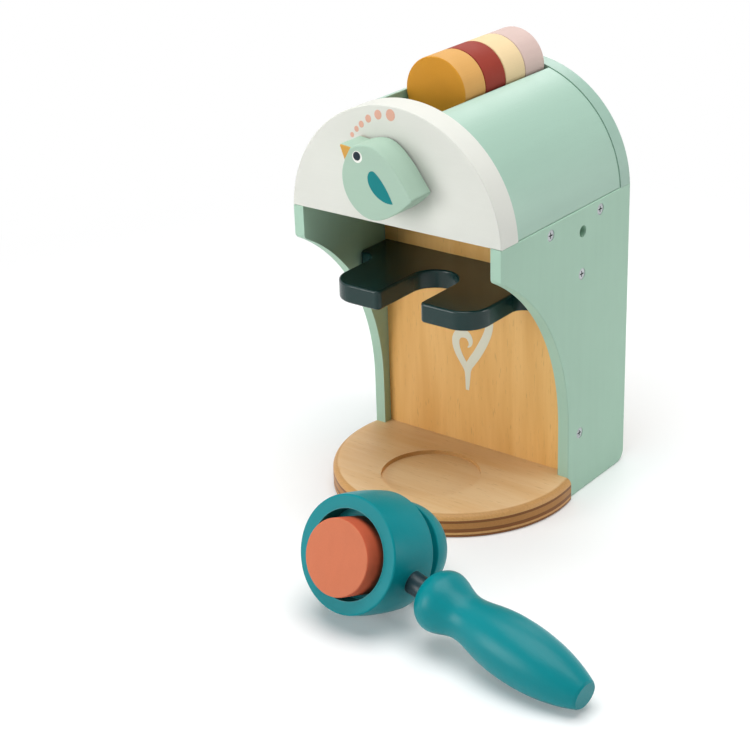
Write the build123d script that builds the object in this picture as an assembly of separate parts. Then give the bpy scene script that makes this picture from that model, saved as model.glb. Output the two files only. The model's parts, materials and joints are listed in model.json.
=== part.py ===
from build123d import *
import math
import os

# A wooden toy coffee maker.  Two side panels carry a half-round front board (the fascia), a half-round rear
# board, a curved roof with a slot for four drink capsules, a plywood back panel, a fork for the portafilter
# and a round plywood base.  A bird-shaped knob turns on the fascia, and the portafilter lies in front of the
# machine with a pod in its cup.
#
# Millimetres.  The origin is on the floor, at the centre of the round base.  +X is to the right of somebody
# who faces the machine, +Y runs to its back and +Z is up.

# ---- Driving dimensions: the body ----
body_width = 160.0           # over both side panels
body_depth = 150.0           # fascia face to the panels' rear edges
panel_thickness = 8.0
panel_height = 200.5
front_to_centre = 62.3       # fascia face to the origin
edge_round = 0.8             # softened edges of boards and turned pieces

leg_setback = 77.5           # fascia face to the front edge of a panel's leg
curve_radius = 145.0         # the hollow curve under the fascia
nose_height = 21.5           # the curve's upper end below the panel's top
nose_radius = 4.0            # corner at the curve's upper end
heel_radius = 8.0            # lower rear corner of a panel

fascia_thickness = 18.0
rear_board_thickness = 12.0
arch_drop = 3.6              # centre of the half-round boards below the panel tops
roof_step = 0.5              # the roof lies this much under the half-round boards
roof_thickness = 8.0

slot_width = 48.2            # capsule slot in the roof
slot_floor_rise = 50.7       # top of the slot's floor above the panel tops
slot_board = 6.0             # boards of the slot's walls and floor

back_thickness = 14.0
cleat_width = 14.0           # the roof's cleats, one along the top of each panel
cleat_height = 14.0
cleat_setback = 20.0         # front end of a cleat behind the fascia
back_setback = 84.4          # fascia face to the front face of the back panel

base_radius = 84.0
base_thickness = 16.0
base_top_round = 4.5
base_bottom_round = 1.2
cup_seat_radius = 33.5
cup_seat_depth = 3.0
cup_seat_forward = 29.2      # centre of the cup seat in front of the base's centre

# ---- Driving dimensions: the fork ----
fork_drop = 47.8             # the fork's top below the panel tops
fork_thickness = 13.0
fork_reach = 81.4            # back panel to the front of the fork's arms
fork_shoulder = 15.0         # side panel to the outer edge of an arm
fork_root_depth = 30.0       # the full-width part along the back panel
fork_arm_round = 18.0        # outer front corners
fork_neck_round = 8.0        # hollow corners where the arms leave the root
fork_root_round = 5.0
fork_lip_round = 3.5         # corners at the mouth of the slot
fork_slot_width = 32.0
fork_slot_depth = 54.0       # arms' front to the round end of the slot
fork_edge_round = 1.5

# ---- Driving dimensions: capsules and their slot ----
capsule_radius = 22.5
capsule_thickness = 22.0
capsule_edge = 0.8
capsule_names = ["capsule_ochre", "capsule_red", "capsule_cream", "capsule_pink"]
capsule_gap = 0.3            # between neighbours, and over the slot's floor
capsule_rear_gap = 2.0       # last capsule to the rear board

# ---- Driving dimensions: screws, dowels and peg holes ----
screw_head_radius = 3.8
screw_shank_radius = 1.8
screw_head_height = 2.4
screw_length = 28.0          # into the back panel and the fork
cleat_screw_length = 19.0
base_screw_length = 40.0
screw_tip = 4.0
screw_sink = 0.3             # heads lie this much under the surface
driver_slot = 0.9            # width of the cross recess
driver_span = 4.2
driver_depth = 1.3
fixing_clearance = 0.05      # radial clearance of screws and dowels in their holes

cleat_screw_inset = 16.2     # front end of a cleat to its first screw
cleat_screw_spacing = 58.5
back_screw_low = 43.6        # height of the lower screws into the back panel
back_screw_spacing = 112.7
fork_screw_spacing = 90.0
base_screw_spacing = 90.0

dowel_radius = 2.0
dowel_length = 20.0

peg_hole_radius = 4.0
peg_hole_depth = 6.5
peg_hole_below_top = 15.6
peg_hole_setback = 91.7      # from the fascia face

# ---- Driving dimensions: the knob ----
knob_rise = 34.2             # the knob's axis above the panel tops
knob_thickness = 19.3
knob_edge_round = 1.0
bird_beak = [(-14.5, 19.8), (-23.8, 20.8), (-19.9, 10.7)]       # top, tip and underside, about the axis
bird_breast = [(-22.3, -2.1), (-17.0, -15.2), (-2.7, -23.9), (13.5, -19.6)]
bird_tail = (30.4, -6.4)
bird_back = [(21.6, 5.5), (11.6, 16.4), (1.5, 22.2), (-6.5, 22.3)]
bird_tip_round = 1.2
bird_corner_round = 1.5      # at the tail and where the beak starts
knob_spacer_thickness = 1.2
knob_spacer_radius = 9.0
axle_radius = 4.0
axle_clearance = 0.08        # running clearance in the fascia
axle_in_knob = 12.0
knob_washer_radius = 8.0
knob_washer_thickness = 1.5
knob_end_play = 0.3          # washer to the fascia's back
knob_screw_length = 14.0
knob_screw_head_height = 2.2

# ---- Driving dimensions: the portafilter, about its own cup ----
cup_rim_radius = 35.5
cup_belly_radius = 36.7
cup_heel_radius = 35.9
cup_length = 36.7
cup_bore_radius = 27.2
cup_bore_depth = 13.2
cup_edge_round = 1.2
foot_top_radius = 29.1
foot_middle_radius = 27.3    # half way down
foot_bottom_radius = 19.8
foot_length = 20.8
waist_play = 1.0             # radial play of the waist in the fork's slot
groove_play = 1.0            # the groove is this much higher than the fork is thick
spigot_length = 8.0          # waist glued into the cup
neck_radius = 7.0
neck_below_rim = 20.3
neck_in_cup = 8.0
neck_in_handle = 18.0
handle_start = 47.8          # from the cup's axis
handle_collar = [(2.8, 14.3), (10.7, 18.8), (21.6, 16.3)]      # from the start, and radius
handle_waist = (28.5, 14.2)
handle_belly = [(46.7, 16.5), (71.3, 18.6), (98.1, 15.2)]
handle_end = (115.4, 9.3)
handle_end_round = 1.0
handle_face_length = 116.6
pod_radius = 23.2
pod_gap = 0.3                # under the pod
pod_sag = 1.2                # it lies this much below the cup's axis

# ---- Driving dimensions: where the portafilter lies ----
cup_rim_x = 55.2             # centre of the rim
cup_rim_y = -188.1
cup_tilt_angle = 20.7        # the rim looks up by this angle
cup_heading_angle = -2.8     # and turns by this angle about the vertical
handle_dip_angle = -10.4     # the handle falls towards its end

# ---- Worked out from them ----
front_y = -front_to_centre
rear_y = front_y + body_depth
roof_front_y = front_y + fascia_thickness
roof_rear_y = rear_y - rear_board_thickness
back_y = front_y + back_setback
leg_y = front_y + leg_setback
curve_centre_y = leg_y - curve_radius
curve_top = panel_height - nose_height
leg_height = curve_top - math.sqrt(curve_radius ** 2 - (front_y - curve_centre_y) ** 2)
inner_x = body_width / 2 - panel_thickness
arch_radius = body_width / 2
arch_height = panel_height - arch_drop
roof_radius = arch_radius - roof_step
slot_x = slot_width / 2
slot_floor_height = panel_height + slot_floor_rise
knob_height = panel_height + knob_rise
cleat_bottom = panel_height - cleat_height
cleat_front_y = roof_front_y + cleat_setback
fork_top_height = panel_height - fork_drop
fork_arms_width = 2 * (inner_x - fork_shoulder)
waist_radius = fork_slot_width / 2 - waist_play
groove_height = fork_thickness + groove_play
MAX_Z = (Align.CENTER, Align.CENTER, Align.MAX)
MIN_Z = (Align.CENTER, Align.CENTER, Align.MIN)


def box(x_from, x_to, y_from, y_to, z_from, z_to):
    """A block between six planes."""
    size = Box(x_to - x_from, y_to - y_from, z_to - z_from, align=Align.MIN)
    return Pos(x_from, y_from, z_from) * size


def board_facing_front(outline, y_front, thickness):
    """An outline drawn in X and Z, made into a board whose front face is at y_front."""
    back_plane = Plane.XZ.offset(-(y_front + thickness))
    return extrude(back_plane * outline, thickness)


def arch_outline(radius):
    """The half-round outline: a circle about the arch centre, cut off level with the panel tops."""
    circle = Pos(0, arch_height) * Circle(radius)
    above_panels = Pos(0, panel_height) * Rectangle(4 * radius, 2 * radius, align=(Align.CENTER, Align.MIN))
    return circle & above_panels


def outward(side, y, z, depth=0.0):
    """A plane on a side panel's outer face, or depth inside it, that looks outward."""
    return Plane(origin=(side * (body_width / 2 - depth), y, z), x_dir=(0, 1, 0), z_dir=(side, 0, 0))


# ---- Fixings ----
def screw_blank(length, clearance=0.0):
    """A countersunk screw that points down, with its head's face at Z = 0, or the hole for one."""
    shank_radius = screw_shank_radius + clearance
    shank = Cylinder(shank_radius, length - screw_tip, align=MAX_Z)
    tip = Pos(0, 0, screw_tip - length) * Cone(screw_tip / 8, shank_radius, screw_tip, align=MAX_Z)
    head = Cone(shank_radius, screw_head_radius + clearance, screw_head_height, align=MAX_Z)
    return shank + tip + head


def countersunk_screw(length):
    """The screw itself, with its cross recess."""
    cross = Box(driver_span, driver_slot, driver_depth, align=MAX_Z)
    cross += Box(driver_slot, driver_span, driver_depth, align=MAX_Z)
    return screw_blank(length) - cross


def screw_hole(length):
    """Room for a sunk screw, open at the surface above its head."""
    mouth = Cylinder(screw_head_radius + fixing_clearance, screw_sink, align=MIN_Z)
    return screw_blank(length, fixing_clearance) + mouth


def cleat_screw_planes():
    """From the sides, through the panels into the cleats."""
    height = panel_height - cleat_height / 2
    first = cleat_front_y + cleat_screw_inset
    return [outward(side, first + step * cleat_screw_spacing, height, screw_sink)
            for side in (-1, 1) for step in (0, 1)]


def back_screw_planes():
    """From the sides, through the panels into the back panel's edges."""
    middle = back_y + back_thickness / 2
    return [outward(side, middle, back_screw_low + step * back_screw_spacing, screw_sink)
            for side in (-1, 1) for step in (0, 1)]


def fork_screw_planes():
    """From behind, through the back panel into the fork's root."""
    height = fork_top_height - fork_thickness / 2
    face = back_y + back_thickness - screw_sink
    return [Plane(origin=(side * fork_screw_spacing / 2, face, height), x_dir=(1, 0, 0), z_dir=(0, 1, 0))
            for side in (-1, 1)]


def base_screw_planes():
    """From below, through the base into the back panel's lower edge."""
    y = back_y + back_thickness / 2
    return [Plane(origin=(side * base_screw_spacing / 2, y, screw_sink), x_dir=(1, 0, 0), z_dir=(0, 0, -1))
            for side in (-1, 1)]


def all_at(planes, piece):
    """One copy of the piece at each plane."""
    return Compound(children=[plane * piece for plane in planes])


def cut_at(body, planes, tool):
    """The body with the tool taken away at each plane."""
    for plane in planes:
        body -= plane * tool
    return body


def dowel_places():
    """Feet of the dowels that pin the half-round boards to the panel tops."""
    x = body_width / 2 - panel_thickness / 2
    rows = (front_y + fascia_thickness / 2, rear_y - rear_board_thickness / 2)
    return [Pos(side * x, y, panel_height - dowel_length / 2) for side in (-1, 1) for y in rows]


def with_dowel_holes(body):
    for place in dowel_places():
        body -= place * Cylinder(dowel_radius + fixing_clearance, dowel_length, align=MIN_Z)
    return body


# ---- The body's boards ----
def side_panel(side):
    """A leg that sweeps forward in a hollow curve to carry the fascia."""
    half_angle = math.asin((curve_top - leg_height) / curve_radius) / 2
    curve_middle = (curve_centre_y + curve_radius * math.cos(half_angle),
                    leg_height + curve_radius * math.sin(half_angle))
    with BuildSketch() as outline:
        with BuildLine():
            Polyline((front_y, curve_top), (front_y, panel_height), (rear_y, panel_height), (rear_y, 0),
                     (leg_y, 0), (leg_y, leg_height))
            ThreePointArc((leg_y, leg_height), curve_middle, (front_y, curve_top))
        make_face()
        fillet(outline.vertices().sort_by_distance((front_y, curve_top))[0], nose_radius)
        fillet(outline.vertices().sort_by_distance((rear_y, 0))[0], heel_radius)
    panel = extrude(Plane.YZ.offset(inner_x) * outline.sketch, panel_thickness)
    panel = fillet(panel.faces().sort_by(Axis.X)[-1].edges(), edge_round)
    if side < 0:
        panel = mirror(panel, Plane.YZ)
    panel = cut_at(panel, cleat_screw_planes(), screw_hole(cleat_screw_length))
    panel = cut_at(panel, back_screw_planes(), screw_hole(screw_length))
    peg_plane = outward(side, front_y + peg_hole_setback, panel_height - peg_hole_below_top)
    panel -= peg_plane * Cylinder(peg_hole_radius, peg_hole_depth, align=MAX_Z)
    return with_dowel_holes(panel)


def front_fascia():
    """The half-round board that the knob turns on."""
    board = board_facing_front(arch_outline(arch_radius), front_y, fascia_thickness)
    board = fillet(board.faces().sort_by(Axis.Y)[0].edges(), edge_round)
    board -= on_knob_axis(Circle(axle_radius + axle_clearance), front_y, fascia_thickness)
    return with_dowel_holes(board)


def rear_arch_board():
    """The half-round board that closes the roof at the back."""
    board = board_facing_front(arch_outline(arch_radius), roof_rear_y, rear_board_thickness)
    board = fillet(board.faces().sort_by(Axis.Y)[-1].edges(), edge_round)
    return with_dowel_holes(board)


def roof_length():
    return roof_rear_y - roof_front_y


def roof_shell(side):
    """A quarter-round shell from a panel top to the capsule slot."""
    ring = arch_outline(roof_radius) - arch_outline(roof_radius - roof_thickness)
    half = Pos(side * slot_x, panel_height) * Rectangle(
        body_width, 2 * body_width, align=(Align.MIN if side > 0 else Align.MAX, Align.CENTER))
    shell = board_facing_front(ring & half, roof_front_y, roof_length())
    curved = shell.faces().filter_by(GeomType.CYLINDER)
    outside = max(curved, key=lambda face: face.area)
    return fillet(outside.edges(), edge_round)


def slot_wall(side):
    """A wall of the capsule slot, shaped to the inside of the roof."""
    bottom = slot_floor_height - slot_board
    strip = Pos(side * slot_x, bottom) * Rectangle(
        slot_board, body_width, align=(Align.MIN if side > 0 else Align.MAX, Align.MIN))
    outline = strip & arch_outline(roof_radius - roof_thickness)
    return board_facing_front(outline, roof_front_y, roof_length())


def slot_floor():
    """The board that the capsules stand on."""
    return box(-slot_x, slot_x, roof_front_y, roof_rear_y, slot_floor_height - slot_board, slot_floor_height)


def cleat_block(side):
    x_from, x_to = sorted((side * inner_x, side * (inner_x - cleat_width)))
    return box(x_from, x_to, cleat_front_y, rear_y, cleat_bottom, panel_height)


def roof_cleat(side):
    """A square batten along the top of a panel, which carries the roof and the half-round boards."""
    return cut_at(cleat_block(side), cleat_screw_planes(), screw_hole(cleat_screw_length))


def back_panel():
    """The upright plywood board behind the cup, notched round the cleats."""
    board = box(-inner_x, inner_x, back_y, back_y + back_thickness, base_thickness, panel_height)
    board -= cleat_block(-1) + cleat_block(1)
    board = cut_at(board, back_screw_planes() + fork_screw_planes(), screw_hole(screw_length))
    return cut_at(board, base_screw_planes(), screw_hole(base_screw_length))


def base_disc():
    """The round base, cut away where the panels' legs stand beside it, with a shallow seat for a cup."""
    disc = Cylinder(base_radius, base_thickness, align=MIN_Z)
    rims = disc.edges().filter_by(GeomType.CIRCLE).sort_by(Axis.Z)
    disc = fillet(rims[-1], base_top_round)
    rims = disc.edges().filter_by(GeomType.CIRCLE).sort_by(Axis.Z)
    disc = fillet(rims[0], base_bottom_round)
    seat = Pos(0, -cup_seat_forward, base_thickness) * Cylinder(cup_seat_radius, cup_seat_depth, align=MAX_Z)
    disc -= seat
    for side in (-1, 1):
        x_from, x_to = sorted((side * inner_x, side * body_width))
        disc -= box(x_from, x_to, leg_y, rear_y, 0, base_thickness)
    return cut_at(disc, base_screw_planes(), screw_hole(base_screw_length))


def portafilter_fork():
    """The shelf whose two arms hold the portafilter."""
    arms_front = back_y - fork_reach
    root_front = back_y - fork_root_depth
    slot_end = arms_front + fork_slot_depth
    slot_radius = fork_slot_width / 2
    with BuildSketch() as outline:
        with Locations((0, back_y)):
            Rectangle(2 * inner_x, fork_root_depth, align=(Align.CENTER, Align.MAX))
            Rectangle(fork_arms_width, fork_reach, align=(Align.CENTER, Align.MAX))
        necks = outline.vertices().filter_by_position(Axis.Y, root_front - 0.1, root_front + 0.1)
        fillet([v for v in necks if abs(v.X) < inner_x - 0.1], fork_neck_round)
        outer = [v for v in outline.vertices() if abs(v.Y - root_front) < 0.1 and abs(v.X) > inner_x - 0.1]
        fillet(outer, fork_root_round)
        fillet([v for v in outline.vertices() if abs(v.Y - arms_front) < 0.1], fork_arm_round)
        with Locations((0, arms_front)):
            Rectangle(fork_slot_width, fork_slot_depth - slot_radius, align=(Align.CENTER, Align.MIN),
                      mode=Mode.SUBTRACT)
        with Locations((0, slot_end - slot_radius)):
            Circle(slot_radius, mode=Mode.SUBTRACT)
        front_corners = [v for v in outline.vertices() if abs(v.Y - arms_front) < 0.1]
        fillet([v for v in front_corners if abs(v.X) < slot_radius + 0.1], fork_lip_round)
    fork = extrude(Plane.XY.offset(fork_top_height - fork_thickness) * outline.sketch, fork_thickness)
    faces = fork.faces().sort_by(Axis.Z)
    free = [edge for edge in faces[0].edges() + faces[-1].edges()
            if edge.center().Y < back_y - 0.1 and abs(edge.center().X) < inner_x - 0.1]
    fork = fillet(free, fork_edge_round)
    return cut_at(fork, fork_screw_planes(), screw_hole(screw_length))


# ---- Capsules ----
def capsule():
    """A thick disc standing on its edge, its axis along Y, with its front face at Y = 0."""
    disc = board_facing_front(Circle(capsule_radius), 0, capsule_thickness)
    return fillet(disc.edges().filter_by(GeomType.CIRCLE), capsule_edge)


def capsule_front(index):
    """Y of a capsule's front face, counted from the front."""
    from_back = len(capsule_names) - index
    return roof_rear_y - capsule_rear_gap - from_back * capsule_thickness - (from_back - 1) * capsule_gap


# ---- The knob ----
def bird_outline():
    """A small bird that looks to the left: beak, round breast and a short tail, about the knob's axis."""
    beak_top, beak_tip, beak_under = bird_beak
    with BuildSketch() as outline:
        with BuildLine():
            Spline(beak_under, *bird_breast, bird_tail)
            Spline(bird_tail, *bird_back, beak_top)
            Polyline(beak_top, beak_tip, beak_under)
        make_face()
        for corner in (bird_tail, beak_top, beak_under):
            fillet(outline.vertices().sort_by_distance(corner)[0], bird_corner_round)
        fillet(outline.vertices().sort_by_distance(beak_tip)[0], bird_tip_round)
    return outline.sketch


def on_knob_axis(outline, y_front, thickness):
    """A board facing front whose outline is drawn about the knob's axis."""
    return board_facing_front(Pos(0, knob_height) * outline, y_front, thickness)


def knob_back_y():
    return front_y - knob_spacer_thickness


def bird_knob():
    """The bird: a thick board with a softened front edge and a blind hole for the axle."""
    bird = on_knob_axis(bird_outline(), knob_back_y() - knob_thickness, knob_thickness)
    bird = fillet(bird.faces().sort_by(Axis.Y)[0].edges(), knob_edge_round)
    return bird - on_knob_axis(Circle(axle_radius), knob_back_y() - axle_in_knob, axle_in_knob)


def axle_end_y():
    return roof_front_y + knob_end_play


def knob_axle():
    """A dowel glued into the knob, drilled for the screw that holds it in the fascia."""
    start = knob_back_y() - axle_in_knob
    rod = on_knob_axis(Circle(axle_radius), start, axle_end_y() - start)
    return rod - on_knob_axis(Circle(screw_shank_radius), axle_end_y() - knob_screw_length, knob_screw_length)


def knob_spacer():
    """A thin ring on the axle that keeps the knob off the fascia."""
    ring = Circle(knob_spacer_radius) - Circle(axle_radius)
    return on_knob_axis(ring, knob_back_y(), knob_spacer_thickness - knob_end_play)


def knob_washer():
    """The ring behind the fascia that stops the axle from pulling out."""
    ring = Circle(knob_washer_radius) - Circle(screw_shank_radius)
    return on_knob_axis(ring, axle_end_y(), knob_washer_thickness)


def knob_screw():
    """The screw along the axle, with a round head on the washer."""
    seat = axle_end_y() + knob_washer_thickness
    shank_length = knob_screw_length + knob_washer_thickness
    shank = on_knob_axis(Circle(screw_shank_radius), seat - shank_length, shank_length)
    head = on_knob_axis(Circle(screw_head_radius), seat, knob_screw_head_height)
    head = fillet(head.faces().sort_by(Axis.Y)[-1].edges(), knob_screw_head_height / 2)
    return shank + head


# ---- The portafilter, standing on its foot about its own axis, its rim at Z = 0 and its handle along +X ----
def turned(*lines):
    """Turn a closed outline, drawn as radius and height, about Z."""
    return revolve(Plane.XZ * make_face(Curve() + list(lines)), Axis.Z)


def portafilter_head():
    """The cup: slightly barrel-shaped, with a bore for the pod."""
    rim, heel = (cup_rim_radius, 0), (cup_heel_radius, -cup_length)
    belly = (cup_belly_radius, -cup_length / 2)
    cup = turned(Line((0, 0), rim), ThreePointArc(rim, belly, heel), Line(heel, (0, -cup_length)),
                 Line((0, -cup_length), (0, 0)))
    cup = fillet(cup.edges().filter_by(GeomType.CIRCLE), cup_edge_round)
    bore = Cylinder(cup_bore_radius, cup_bore_depth, align=MAX_Z)
    neck_hole = Rot(0, 90, 0) * Cylinder(neck_radius, 2 * cup_belly_radius, align=MIN_Z)
    neck_hole = Pos(0, 0, -neck_below_rim) * neck_hole
    core = Cylinder(cup_belly_radius - neck_in_cup, cup_length, align=MAX_Z)
    spigot_hole = Pos(0, 0, -cup_length) * Cylinder(waist_radius, spigot_length, align=MIN_Z)
    return cup - bore - (neck_hole - core) - spigot_hole


def portafilter_foot():
    """The rounded foot, and the waist above it that slides into the fork's slot and is glued into the cup."""
    top = -cup_length - groove_height
    bottom = top - foot_length
    shoulder, heel = (foot_top_radius, top), (foot_bottom_radius, bottom)
    middle = (foot_middle_radius, (top + bottom) / 2)
    foot = turned(Line((0, top), shoulder), ThreePointArc(shoulder, middle, heel),
                  Line(heel, (0, bottom)), Line((0, bottom), (0, top)))
    foot = fillet(foot.edges().filter_by(GeomType.CIRCLE), edge_round)
    waist = Pos(0, 0, top) * Cylinder(waist_radius, groove_height + spigot_length, align=MIN_Z)
    return foot + waist


def portafilter_neck():
    """The dark rod between cup and handle."""
    start = cup_belly_radius - neck_in_cup
    rod = Cylinder(neck_radius, handle_start + neck_in_handle - start, align=MIN_Z)
    return Pos(start, 0, -neck_below_rim) * Rot(0, 90, 0) * rod


def portafilter_handle():
    """The turned grip: a round collar, a waist, a long belly and a small flat end."""
    profile = [(0, neck_radius)] + handle_collar + [handle_waist] + handle_belly + [handle_end]
    face_radius = handle_end[1] - handle_end_round
    with BuildSketch() as outline:
        with BuildLine():
            Spline(*profile)
            Line(handle_end, (handle_face_length, face_radius))
            Polyline((handle_face_length, face_radius), (handle_face_length, 0), (0, 0), (0, neck_radius))
        make_face()
    grip = revolve(outline.sketch, Axis.X)
    grip -= Rot(0, 90, 0) * Cylinder(neck_radius, neck_in_handle, align=MIN_Z)
    return Pos(handle_start, 0, -neck_below_rim) * grip


def portafilter_pod():
    """A drink capsule lying in the cup, its face proud of the rim."""
    pod = Pos(0, -pod_sag, pod_gap - cup_bore_depth) * Cylinder(pod_radius, capsule_thickness, align=MIN_Z)
    return fillet(pod.edges().filter_by(GeomType.CIRCLE), capsule_edge)


def lying_plane(height):
    """The plane of the cup's rim as it lies on the floor: Z out of the cup, X along the handle."""
    heading = math.radians(cup_heading_angle)
    tilt = math.radians(cup_tilt_angle)
    dip = math.radians(handle_dip_angle)
    forward = Vector(math.sin(heading), -math.cos(heading), 0)
    out_of_cup = forward * math.cos(tilt) + Vector(0, 0, math.sin(tilt))
    level = Vector(math.cos(heading), math.sin(heading), 0)
    along_handle = level * math.cos(dip) + out_of_cup.cross(level) * math.sin(dip)
    return Plane(origin=(cup_rim_x, cup_rim_y, height), x_dir=along_handle, z_dir=out_of_cup)


def lay_down(pieces):
    """Turn the pieces as they lie, and set the lowest of them on the floor."""
    turned_over = {name: lying_plane(0) * piece for name, piece in pieces.items()}
    lowest = min(piece.bounding_box().min.Z for piece in turned_over.values())
    return {name: Pos(0, 0, -lowest) * piece for name, piece in turned_over.items()}


# ---- Every piece ----
pieces = {
    "left_side_panel": side_panel(-1),
    "right_side_panel": side_panel(1),
    "front_fascia": front_fascia(),
    "rear_arch_board": rear_arch_board(),
    "roof_shell_left": roof_shell(-1),
    "roof_shell_right": roof_shell(1),
    "slot_wall_left": slot_wall(-1),
    "slot_wall_right": slot_wall(1),
    "slot_floor": slot_floor(),
    "roof_cleat_left": roof_cleat(-1),
    "roof_cleat_right": roof_cleat(1),
    "back_panel": back_panel(),
    "base_disc": base_disc(),
    "portafilter_fork": portafilter_fork(),
    "cleat_screws": all_at(cleat_screw_planes(), countersunk_screw(cleat_screw_length)),
    "back_panel_screws": all_at(back_screw_planes(), countersunk_screw(screw_length)),
    "fork_screws": all_at(fork_screw_planes(), countersunk_screw(screw_length)),
    "base_screws": all_at(base_screw_planes(), countersunk_screw(base_screw_length)),
    "arch_dowels": Compound(children=[
        place * Cylinder(dowel_radius, dowel_length, align=MIN_Z) for place in dowel_places()]),
    "bird_knob": bird_knob(),
    "knob_spacer": knob_spacer(),
    "knob_axle": knob_axle(),
    "knob_washer": knob_washer(),
    "knob_screw": knob_screw(),
}
for index, name in enumerate(capsule_names):
    pieces[name] = Pos(0, capsule_front(index), slot_floor_height + capsule_gap + capsule_radius) * capsule()
pieces.update(lay_down({
    "portafilter_head": portafilter_head(),
    "portafilter_foot": portafilter_foot(),
    "portafilter_neck": portafilter_neck(),
    "portafilter_handle": portafilter_handle(),
    "portafilter_pod": portafilter_pod(),
}))

os.makedirs("parts", exist_ok=True)
for name, piece in pieces.items():
    export_step(piece, f"parts/{name}.step")
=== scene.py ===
# %% [markdown]
# # A wooden toy coffee maker
#
# This lesson dresses a small play machine. Its boards, screws and turned pieces come from a
# construction model at their real size, and here they get their paint, their plywood, their
# prints and their light.
#
# The first cell loads that model. Each piece arrives as a mesh whose vertices already stand where
# the piece belongs, in metres, so nothing has to be placed by hand.

import json
import math

import bmesh
import bpy
import numpy as np
from mathutils import Matrix, Vector, geometry


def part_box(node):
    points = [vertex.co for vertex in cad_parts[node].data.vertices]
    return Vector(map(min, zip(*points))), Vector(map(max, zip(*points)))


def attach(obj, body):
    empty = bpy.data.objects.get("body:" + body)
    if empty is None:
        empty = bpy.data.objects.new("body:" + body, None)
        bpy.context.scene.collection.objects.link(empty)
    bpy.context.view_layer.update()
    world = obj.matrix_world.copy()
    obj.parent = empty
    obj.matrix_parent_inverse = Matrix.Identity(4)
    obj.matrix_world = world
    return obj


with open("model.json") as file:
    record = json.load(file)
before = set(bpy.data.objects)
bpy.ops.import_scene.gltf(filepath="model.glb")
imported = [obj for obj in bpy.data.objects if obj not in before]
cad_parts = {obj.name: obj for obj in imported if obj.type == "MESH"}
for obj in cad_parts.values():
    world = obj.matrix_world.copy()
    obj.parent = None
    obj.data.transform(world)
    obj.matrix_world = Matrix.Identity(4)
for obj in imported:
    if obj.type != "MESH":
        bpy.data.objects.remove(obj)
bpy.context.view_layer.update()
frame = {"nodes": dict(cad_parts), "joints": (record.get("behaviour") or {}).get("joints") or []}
nodes = frame["nodes"]
MM = 0.001

# %% [markdown]
# # The camera
#
# A product picture is taken with a long lens from a step back, so that upright edges stay nearly
# parallel. The camera is described the way a photographer would: how far round the machine it
# stands, how high it looks down from, a slight roll of the wrist, and the length of the lens.
# Three vectors made from these angles are the columns of its rotation matrix. Blender's cameras
# look along their own -Z, so the third column points backwards.

# %% Set up the camera
IMAGE_SIDE = 750
AZIMUTH, ELEVATION, ROLL = math.radians(38.38), math.radians(24.37), math.radians(-2.09)
FOCAL_PIXELS = 1784.12
CAMERA_PLACE = Vector((0.6318, -0.8833, 0.5703))

backward = Vector((math.sin(AZIMUTH) * math.cos(ELEVATION), -math.cos(AZIMUTH) * math.cos(ELEVATION),
                   math.sin(ELEVATION)))
level_right = (-backward).cross(Vector((0, 0, 1))).normalized()
level_up = level_right.cross(-backward)
right = level_right * math.cos(ROLL) + level_up * math.sin(ROLL)
up = level_up * math.cos(ROLL) - level_right * math.sin(ROLL)

camera = bpy.data.objects.new("camera", bpy.data.cameras.new("camera"))
bpy.context.scene.collection.objects.link(camera)
bpy.context.scene.camera = camera
camera.data.sensor_width = 36.0
camera.data.lens = FOCAL_PIXELS / IMAGE_SIDE * camera.data.sensor_width
camera.data.clip_start = 0.05
camera_turn = Matrix((right, up, backward)).transposed().to_4x4()
camera.matrix_world = Matrix.Translation(CAMERA_PLACE) @ camera_turn
bpy.context.scene.view_settings.view_transform = "Standard"
print("lens of", round(camera.data.lens, 1), "mm")

# %% [markdown]
# # Small helpers for shader nodes
#
# A material in Blender is a graph of nodes. Wiring one by hand takes a line to make a node, a
# line for each value and a line for each wire, and soon nobody can see what the graph is for.
# These helpers write a node and its wires as one call: a plain value is set on the socket, and
# another node's socket is linked to it.

# %% Helpers for nodes
FLOAT, VECTOR, COLOUR = "NodeSocketFloat", "NodeSocketVector", "NodeSocketColor"


def add(tree, kind, inputs=None, **settings):
    """Add one node. Inputs are keyed by socket name or number."""
    made = tree.nodes.new(kind)
    for key, value in settings.items():
        setattr(made, key, value)
    for key, value in (inputs or {}).items():
        if isinstance(value, bpy.types.NodeSocket):
            tree.links.new(value, made.inputs[key])
        else:
            made.inputs[key].default_value = value
    return made


def sums(tree, operation, *values, clamp=False):
    """A Math node's result."""
    inputs = dict(enumerate(values))
    return add(tree, "ShaderNodeMath", inputs, operation=operation, use_clamp=clamp).outputs[0]


def vector_sums(tree, operation, *values, output=0):
    """A Vector Math node's result. Lengths and dot products come out of the socket named Value."""
    inputs = dict(enumerate(values))
    return add(tree, "ShaderNodeVectorMath", inputs, operation=operation).outputs[output]


def mixed(tree, amount, first, second, blend="MIX"):
    """Two colours mixed by an amount from 0 to 1."""
    inputs = {0: amount, 6: first, 7: second}
    return add(tree, "ShaderNodeMix", inputs, data_type="RGBA", blend_type=blend).outputs[2]


def between(tree, value, low, high, to_low=0.0, to_high=1.0):
    """A value stretched from one range to another, and held inside it."""
    inputs = {0: value, 1: low, 2: high, 3: to_low, 4: to_high}
    return add(tree, "ShaderNodeMapRange", inputs, clamp=True).outputs[0]


def noise(tree, vector, scale, detail=2.0, roughness=0.5):
    """A noise texture's value, from 0 to 1 about a half."""
    inputs = {"Vector": vector, "Scale": scale, "Detail": detail, "Roughness": roughness}
    return add(tree, "ShaderNodeTexNoise", inputs).outputs[0]


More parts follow.
